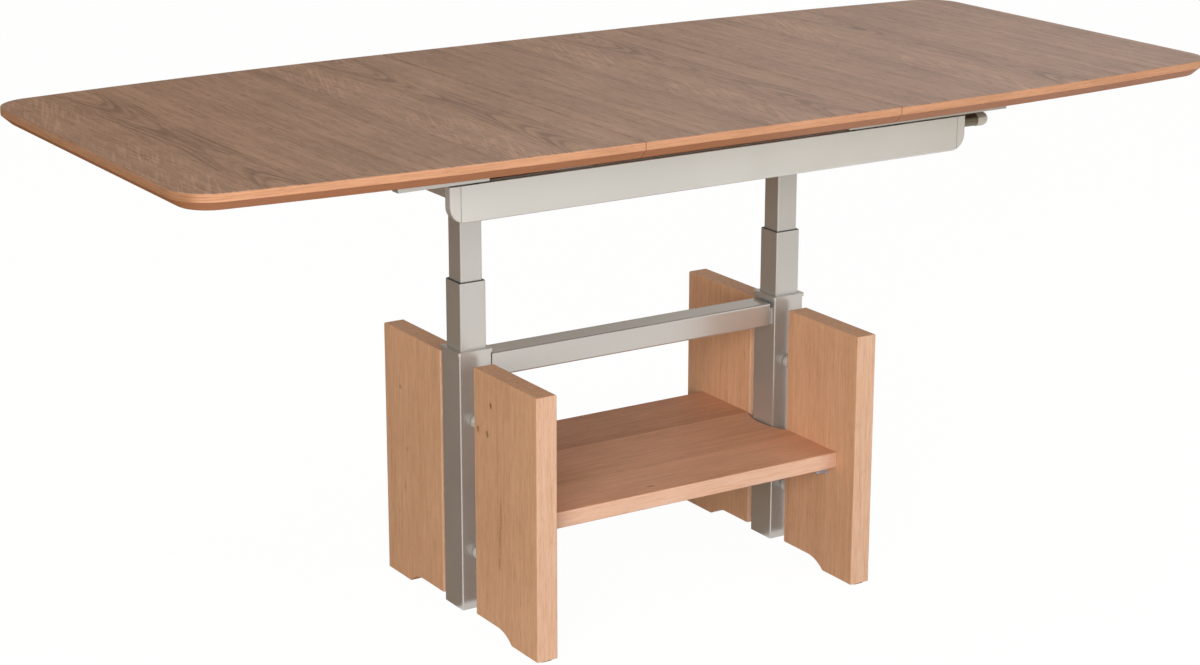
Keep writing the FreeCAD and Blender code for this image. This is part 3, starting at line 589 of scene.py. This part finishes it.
support_nose = turned_piece(nose_base, (-1.0, 0.0, 0.0), nose_outline, steps=32)
right_support = welded(support_back, support_ledge, support_nose)
front_step = (0.0, supports_low.y - support_side_y, 0.0)
right_supports = joined("shelf_support_pair", [right_support, copied(right_support, front_step)])
left_supports = half_turned(right_supports)
clear_supports = joined("clear_shelf_supports", [right_supports, left_supports])
clear_plastic = moulded_plastic("clear_support_plastic", (0.74, 0.72, 0.77), 0.16, relief=0.03)
clear_share = 0.4
clear_shader = clear_plastic.node_tree.nodes["Principled BSDF"]
clear_shader.inputs["Transmission Weight"].default_value = clear_share
finish_piece(clear_supports, clear_plastic, "clear_plastic", "base", "shelf_supports")

shelf_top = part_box("shelf")[1].z
# Painted light: the shelf's front and back edges get a paler tint. Its end grain is a little darker.
shelf_oak = oak_finish(
    "oiled_shelf_oak", ("Y", "Z", "X"), stave_rings,
    {"Stave Width": 0.125, "First Joint": 0.174, "Ring Spacing": 0.0036, "Heart Depth": 0.08,
     "Heart Offset": 0.11, "Slope": 0.008, "Wander": 0.008},
    ((0.930, 0.512, 0.316), (0.475, 0.220, 0.118), oak_pore),
    contrast=(0.16, 0.34, 0.36, 0.10, 0.20), gloss=0.58, specular=0.08,
    painted_side_light=((0.82, 0.57, 0.44), 0.50), end_grain_and_painted_light=(oak_pore, 0.10),
    knots=(((-0.0571, -0.1465, shelf_top), (0.006, 0.0024, 0.010), 0.5),))
dress(shelf_oak, "shelf")

# Frame under the top: head plates and cross bearers over the columns, slotted aprons and the cross
# rails at both ends. Folded and welded steel, the columns' paint, a little rougher on the aprons' rolled
# sheet and made paler there as painted light; the moulded end caps are paler too, partly their own tone,
# partly painted light.
dress(champagne_paint, "head_plates", "cross_bearer_left", "cross_bearer_right", "end_rail_left",
      "end_rail_right")
# Painted light: a paler copy of the columns' paint.
apron_paint_with_painted_light = metal_finish("apron_paint_with_painted_light", (0.684, 0.659, 0.613), metallic=0.60, roughness=0.33)
dress(apron_paint_with_painted_light, "apron_front", "apron_rear")
# Partly painted light: paler than the columns, partly the caps' own lighter tone.
cap_paint_with_painted_light = metal_finish("cap_tone_and_painted_light", (0.660, 0.625, 0.582), metallic=0.50, roughness=0.36)
dress(cap_paint_with_painted_light, "apron_end_caps")

# Support angles for the insert, zinc plated steel riveted to the aprons' inner faces; their dark brown
# is painted shade, with the wood underside's brown painted in as its reflection.
# The rivets have low domed heads and are left bright.
# Painted shade and painted reflection: dark brown for the shade in the gap and the wood mirrored in it.
angle_metal_painted_shade = metal_finish("insert_angle_painted_shade", (0.26, 0.115, 0.050), metallic=0.5, roughness=0.45)
dress(angle_metal_painted_shade, "insert_angle_front", "insert_angle_rear")
angle_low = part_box("insert_angle_front")[0]
angle_wall = 0.003
rivet_count = 5
rivet_pitch = 0.080
rivet_rise = 0.013
rivet_x = -rivet_pitch * (rivet_count - 1) / 2.0
rivet_face_y = angle_low.y + angle_wall
rivet_level = angle_low.z + rivet_rise
rivet_outline = ((0.0, 0.0), (0.0, 3.6), (0.35, 3.6), (0.9, 3.3), (1.4, 2.6), (1.75, 1.5), (1.9, 0.0))
front_rivet = turned_piece(
    (rivet_x, rivet_face_y, rivet_level), (0.0, 1.0, 0.0), rivet_outline, steps=24)
rear_rivet = turned_piece(
    (rivet_x, -rivet_face_y, rivet_level), (0.0, -1.0, 0.0), rivet_outline, steps=24)
rivets = []
for rivet in (front_rivet, rear_rivet):
    rivets.append(rivet)
    for count in range(1, rivet_count):
        rivets.append(copied(rivet, (rivet_pitch * count, 0.0, 0.0)))
angle_rivets = joined("angle_rivets", rivets)
finish_piece(angle_rivets, zinc_steel, "zinc_steel", "top_frame")

# Release: brackets, shaft, rocker and link of plated steel. The lever is turned steel: a hub on the
# shaft, a slim rod and a grip, coloured dark brown as painted shade under the top; its knob is a paler
# copy, painted light.
dress(zinc_steel, "release_brackets", "release_shaft", "release_rocker", "release_link")
# Painted shade on the lever and painted light on its knob: darker and paler copies of one metal.
lever_steel_painted_shade = metal_finish("lever_steel_painted_shade", (0.190, 0.160, 0.110), metallic=1.0, roughness=0.45)
knob_metal_painted_light = metal_finish("knob_metal_painted_light", (0.60, 0.56, 0.47), metallic=0.55, roughness=0.38)
joints = frame["record"]["behaviour"]["joints"]
lever_joint = next(joint for joint in joints if joint["name"] == "lever_pivot")
pivot = Vector(lever_joint["pos_m"])
hub_outline = ((-7.0, 5.05), (-7.0, 8.2), (-6.2, 9.0), (6.2, 9.0), (7.0, 8.2), (7.0, 5.05), (-7.0, 5.05))
lever_hub = turned_piece(pivot, (0.0, 1.0, 0.0), hub_outline)
knob_radius = 10.2
knob_length = 12.0
lever_end = (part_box("release_lever")[1].x - pivot.x) * 1000.0
dome_start = lever_end - knob_radius
knob_start = dome_start - knob_length
dome_angles = [math.radians(angle) for angle in range(0, 90, 9)]
dome = [(dome_start + knob_radius * math.sin(angle), knob_radius * math.cos(angle))
        for angle in dome_angles]
arm_outline = ((6.6, 0.0), (6.6, 4.5), (119.0, 4.5), (120.0, 5.6), (123.0, 5.6), (124.0, 5.0),
               (132.6, 7.6), (136.0, 8.2), (142.0, 8.4), (knob_start - 0.8, 9.3), (knob_start, 8.9),
               (knob_start, 0.0))
lever_arm = turned_piece(pivot, (1.0, 0.0, 0.0), arm_outline)
turned_lever = welded(lever_hub, lever_arm)
turned_lever.name = "turned_lever"
finish_piece(turned_lever, lever_steel_painted_shade, "lever_metal", "lever", "release_lever")
knob_outline = ((knob_start, 0.0), (knob_start, 8.9), (knob_start + 0.4, 9.7), (knob_start + 1.2, 10.1),
                (knob_start + 2.4, knob_radius), *dome, (lever_end, 0.0))
lever_knob = turned_piece(pivot, (1.0, 0.0, 0.0), knob_outline)
lever_knob.name = "lever_knob"
finish_piece(lever_knob, knob_metal_painted_light, "lever_metal", "lever")

# Runners screwed under the leaves, with black plastic shoes and pads that slide on the aprons.
# The runners are folded steel channel in the frame's paint. Angled strips of brown nylon lie
# along the aprons' inner sides, between bearer and end rail, where the runners' ends pass; they stand
# there as painted shade, dark in the gap under the leaves' edges.
dress(champagne_paint, "leaf_runners_left", "leaf_runners_right")
dress(dark_bush, "leaf_glides_left", "leaf_glides_right")
apron_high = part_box("apron_front")[1]
strip_gap = 0.0005
strip_width = 0.013
strip_drop = 0.014
strip_thickness = 0.0024
strip_ease = 0.0006
strip_start_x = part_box("end_rail_left")[1].x + strip_gap
strip_end_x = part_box("cross_bearer_left")[0].x - strip_gap
strip_side_y = apron_high.y + strip_gap
strip_top = apron_high.z - strip_gap
# Painted shade: these dark brown strips fill the gap under the leaves' edges.
strip_flange = eased_block(
    (strip_start_x, strip_side_y, strip_top - strip_thickness),
    (strip_end_x, strip_side_y + strip_width, strip_top), strip_ease)
strip_leg = eased_block(
    (strip_start_x, strip_side_y, strip_top - strip_drop),
    (strip_end_x, strip_side_y + strip_thickness, strip_top), strip_ease)
front_left_strip = welded(strip_flange, strip_leg)
front_right_strip = copied(front_left_strip, (-strip_start_x - strip_end_x, 0.0, 0.0))
front_strips = joined("front_gap_shade_strips", [front_left_strip, front_right_strip])
rear_strips = half_turned(front_strips)
gap_shade_strips = joined("gap_shade_strips", [front_strips, rear_strips])
finish_piece(gap_shade_strips, brown_nylon, "dark_plastic", "top_frame")

# Two leaves and the insert: board core, solid oak edge strip with an undercut, veneer sheet.
# The crown cut veneer is laid across the table, leaf after leaf with the same figure.
board_core = oak_finish(
    "backing_veneer", ("X", "Z", "Y"), stave_rings,
    {"Stave Width": 0.150, "First Joint": 0.055, "Ring Spacing": 0.0030, "Heart Depth": 0.06,
     "Heart Offset": 0.0, "Slope": 0.05, "Wander": 0.010},
    ((0.56, 0.36, 0.22), (0.44, 0.26, 0.15), (0.26, 0.14, 0.08)),
    contrast=(0.30, 0.35, 0.25, 0.10, 0.45), gloss=0.55, specular=0.2)
dress(board_core, "leaf_core_left", "leaf_core_right", "insert_core")
edge_pore_and_end_shade = (0.22, 0.09, 0.03)
# Painted shade: the edge strip's end faces are darkened, and its undercut, which looks down, is a dark
# red-brown.
edge_oak = oak_finish(
    "edge_strip_oak", ("Z", "Z", "XY"), stave_rings,
    {"Stave Width": 0.060, "First Joint": 0.69, "Ring Spacing": 0.0036, "Heart Depth": 0.05,
     "Heart Offset": 0.0, "Slope": 0.006, "Wander": 0.008},
    ((0.770, 0.398, 0.230), (0.515, 0.242, 0.124), edge_pore_and_end_shade),
    contrast=(0.35, 0.60, 0.10, 0.10, 0.40), gloss=0.46, specular=0.20,
    end_grain_and_painted_light=(edge_pore_and_end_shade, 0.50), painted_under_shade=((0.34, 0.085, 0.015), 0.85))
dress(edge_oak, "leaf_edge_left", "leaf_edge_right", "insert_edges")


def build_slip_matched_rings():
    """Rings, tone and slanted ripple of crown cut veneer, the same in each leaf of the sheet."""
    group, given, result = new_group(
        "slip_matched_rings", ("Across", "Depth", "Along", "Leaf Width", "First Joint", "Crown Place",
                               "Crown Depth", "Crown Bow", "Ring Spacing"),
        ("Rings", "Tone", "Crown", "Ripple"))
    place = sum_node(group, "DIVIDE", sum_node(group, "SUBTRACT", given["Across"], given["First Joint"]),
                     given["Leaf Width"])
    share = sum_node(group, "FRACT", place)
    leaf = sum_node(group, "MULTIPLY", share, given["Leaf Width"])
    along = sum_node(group, "MULTIPLY_ADD", sum_node(group, "FLOOR", place), 0.008, given["Along"])

    # The crown stands highest near the middle of the leaf's length, so its peaks point inwards.
    slow = combine_node(group, sum_node(group, "MULTIPLY", leaf, 9.0),
                        sum_node(group, "MULTIPLY", along, 4.0), 7.3)
    drift = sum_node(group, "MULTIPLY_ADD", noise_node(group, slow, 1.0, 2.0), 0.022, -0.011)
    side = sum_node(group, "ADD", sum_node(group, "SUBTRACT", leaf, given["Crown Place"]), drift)
    reach = sum_node(group, "ADD", along, 0.03)
    bow = sum_node(group, "MULTIPLY", sum_node(group, "MULTIPLY", reach, reach), given["Crown Bow"])
    deep = sum_node(group, "SUBTRACT", given["Crown Depth"], bow)
    radius = sum_node(group, "MULTIPLY_ADD", side, side, sum_node(group, "MULTIPLY", deep, deep))
    radius = sum_node(group, "SQRT", radius)
    link(group, sum_node(group, "DIVIDE", radius, given["Ring Spacing"]), result["Rings"])
    crown = range_node(group, sum_node(group, "ABSOLUTE", side), 0.018, 0.048, 1.0, 0.0)
    link(group, crown, result["Crown"])

    # A leaf darkens from its first edge to its last, in bands, with a dark band at its last edge.
    bands = combine_node(group, leaf, 2.1, sum_node(group, "MULTIPLY", along, 0.05))
    bands = range_node(group, noise_node(group, bands, 48.0, 2.0), 0.3, 0.7)
    tone = sum_node(group, "MULTIPLY_ADD", bands, 0.5, sum_node(group, "MULTIPLY", share, 0.25))
    last = range_node(group, share, 0.92, 0.98)
    link(group, sum_node(group, "MULTIPLY_ADD", last, 0.28, tone), result["Tone"])

    # Rays run slantwise through the quarter cut first edge and catch the light as pale ripples.
    slant = math.radians(21.0)
    over = sum_node(group, "MULTIPLY_ADD", along, -math.sin(slant),
                    sum_node(group, "MULTIPLY", leaf, math.cos(slant)))
    ripple = combine_node(group, over, 0.7, sum_node(group, "MULTIPLY", along, 0.05))
    ripple = range_node(group, noise_node(group, ripple, 230.0, 1.0), 0.46, 0.66)
    zone = range_node(group, leaf, 0.045, 0.100, 1.0, 0.0)
    patch = combine_node(group, leaf, 5.2, along)
    patch = range_node(group, noise_node(group, patch, 11.0, 1.0), 0.28, 0.55)
    ripple = sum_node(group, "MULTIPLY", ripple, zone)
    link(group, sum_node(group, "MULTIPLY", ripple, patch), result["Ripple"])
    return group


top_veneer = oak_finish(
    "top_oak_veneer", ("X", "Z", "Y"), build_slip_matched_rings(),
    {"Leaf Width": 0.397, "First Joint": -0.797, "Crown Place": 0.118, "Crown Depth": 0.055,
     "Crown Bow": 0.152, "Ring Spacing": 0.0030},
    ((0.690, 0.390, 0.244), (0.285, 0.143, 0.079), (0.15, 0.08, 0.045)),
    contrast=(0.44, 0.52, 0.24, 0.08, 0.60), gloss=0.44, specular=0.30)
dress(top_veneer, "leaf_veneer_left", "leaf_veneer_right", "insert_veneer")
dress(zinc_steel, "insert_pegs")

# The studio floor, pale and plain, which shows white to the camera and keeps a soft shadow.
# Reflections see it white as well.
floor_width = 60.0
floor_drop = 0.0005
floor_strength = 1.24
floor_white_share = 0.78
bpy.ops.object.select_all(action="DESELECT")
bpy.ops.mesh.primitive_plane_add(size=floor_width, location=(0.0, 0.0, -floor_drop))
studio_floor = bpy.context.active_object
studio_floor.name = "studio_floor"
bpy.ops.object.transform_apply(location=True, rotation=True, scale=True)
floor_white, floor_tree, floor_shader = new_material("studio_floor_white")
floor_shader.inputs["Base Color"].default_value = (0.32, 0.30, 0.27, 1.0)
floor_shader.inputs["Roughness"].default_value = 0.9
floor_shader.inputs["Specular IOR Level"].default_value = 0.0
floor_glow = floor_tree.nodes.new("ShaderNodeEmission")
floor_glow.inputs["Color"].default_value = (1.0, 1.0, 1.0, 1.0)
floor_glow.inputs["Strength"].default_value = floor_strength
floor_mix = floor_tree.nodes.new("ShaderNodeMixShader")


def seen_directly(tree):
    """One for camera rays, mirrored rays and rays through clear plastic; nought for scattered light."""
    rays = tree.nodes.new("ShaderNodeLightPath").outputs
    seen = sum_node(tree, "MAXIMUM", rays["Is Camera Ray"], rays["Is Glossy Ray"])
    return sum_node(tree, "MAXIMUM", seen, rays["Is Transmission Ray"])


floor_share = sum_node(floor_tree, "MULTIPLY", seen_directly(floor_tree), floor_white_share)
link(floor_tree, floor_share, floor_mix.inputs[0])
link(floor_tree, floor_shader.outputs[0], floor_mix.inputs[1])
link(floor_tree, floor_glow.outputs[0], floor_mix.inputs[2])
link(floor_tree, floor_mix.outputs[0], floor_tree.nodes["Material Output"].inputs["Surface"])
studio_floor.data.materials.append(floor_white)

# Four cards that only reflections see: a brown cloth on the floor at the rear left, a rear wall graded
# from brown at the left to white at the right, a darker skirting below it, and a floor at the front that
# turns warm grey to the right.


def reflection_card(name, place, turn, size):
    """A flat card for the metal to mirror; it casts no shadow and the camera looks through it."""
    bpy.ops.object.select_all(action="DESELECT")
    bpy.ops.mesh.primitive_plane_add(size=1.0, location=place, rotation=turn)
    card = bpy.context.active_object
    card.name = name
    card.scale = (*size, 1.0)
    bpy.ops.object.transform_apply(location=True, rotation=True, scale=True)
    card.visible_camera = False
    card.visible_diffuse = False
    card.visible_shadow = False
    card.visible_transmission = False
    material, tree, shader = new_material(name)
    tree.nodes.remove(shader)
    glow = tree.nodes.new("ShaderNodeEmission")
    link(tree, glow.outputs[0], tree.nodes["Material Output"].inputs["Surface"])
    card.data.materials.append(material)
    return tree, glow


flat = (0.0, 0.0, 0.0)
upright = (math.radians(90.0), 0.0, 0.0)
card_rise = 0.0015
_, cloth_glow = reflection_card("brown_cloth", (-1.2, 1.6, card_rise), flat, (2.9, 3.16))
cloth_glow.inputs["Color"].default_value = (0.172, 0.09, 0.03, 1.0)


def grade_card(tree, glow, start, end, first, last):
    """Let a card's colour change along X."""
    place = separate_node(tree, tree.nodes.new("ShaderNodeTexCoord").outputs["Object"])
    grade = range_node(tree, place["X"], start, end, 0.0, 1.0, False)
    link(tree, mix_colour(tree, grade, first, last), glow.inputs["Color"])


wall_middle_x = 1.0
wall_y = 3.4
wall_length = 14.0
graded_height = 2.3
skirting_height = 1.7
wall_card = reflection_card(
    "graded_wall", (wall_middle_x, wall_y, skirting_height + graded_height / 2.0), upright,
    (wall_length, graded_height))
grade_card(*wall_card, start=0.2, end=3.4, first=(0.28, 0.215, 0.14), last=(1.40, 1.40, 1.40))
_, skirting_glow = reflection_card(
    "dark_skirting", (wall_middle_x, wall_y, skirting_height / 2.0), upright,
    (wall_length, skirting_height))
skirting_glow.inputs["Color"].default_value = (0.25, 0.205, 0.15, 1.0)
floor_card = reflection_card("warm_floor", (3.6, -3.7, card_rise), flat, (5.4, 5.6))
grade_card(*floor_card, start=0.9, end=2.7, first=(1.0, 1.0, 1.0), last=(0.46, 0.40, 0.30))

# Studio light: a plain sky, a broad softbox from the front left and a weaker one from the front right.
# Both stand low, so the fronts are brighter than the tops.
world = bpy.data.worlds.new("studio_sky")
bpy.context.scene.world = world
world.use_nodes = True
sky_tree = world.node_tree
sky = sky_tree.nodes["Background"]
sky.inputs["Color"].default_value = (1.0, 1.0, 1.0, 1.0)
scattered_sky = 0.33
seen_sky = 1.0
sky_strength = range_node(sky_tree, seen_directly(sky_tree), 0.0, 1.0, scattered_sky, seen_sky)
link(sky_tree, sky_strength, sky.inputs["Strength"])
softbox_size = 2.8
softbox_aim = Vector((0.0, 0.0, 0.45))


def softbox(name, place, power):
    """Square studio light turned towards the table, which leaves no glare on the top."""
    bpy.ops.object.light_add(type="AREA", location=place)
    lamp = bpy.context.active_object
    lamp.name = name
    lamp.data.size = softbox_size
    lamp.data.energy = power
    lamp.visible_glossy = False
    direction = softbox_aim - Vector(place)
    lamp.rotation_euler = direction.to_track_quat("-Z", "Y").to_euler()


softbox("front_left_softbox", place=(-3.7, -3.9, 1.4), power=202.0)
softbox("front_right_softbox", place=(2.4, -4.5, 1.5), power=88.0)

# The camera stands at the photograph's viewpoint, solved from the table's edges.
# Its sensor is 36 mm wide; the frame of 1200 by 665 pixels is not set here.
camera_place = (-1.97205, -3.03628, 1.43448)
camera_heading = -32.376
camera_drop = 16.449
camera_roll = 0.069
camera_lens = 80.2037
sensor_width = 36.0
view_range = 200.0
camera_data = bpy.data.cameras.new("photo_camera")
camera_data.sensor_fit = "HORIZONTAL"
camera_data.sensor_width = sensor_width
camera_data.lens = camera_lens
camera_data.clip_end = view_range
camera = bpy.data.objects.new("photo_camera", camera_data)
bpy.context.scene.collection.objects.link(camera)
turn = Matrix.Rotation(math.radians(camera_heading), 4, "Z")
tilt = Matrix.Rotation(math.radians(90.0 - camera_drop), 4, "X")
roll = Matrix.Rotation(math.radians(camera_roll), 4, "Z")
camera.matrix_world = Matrix.Translation(camera_place) @ turn @ tilt @ roll
bpy.context.scene.camera = camera
bpy.context.scene.view_settings.view_transform = "Standard"
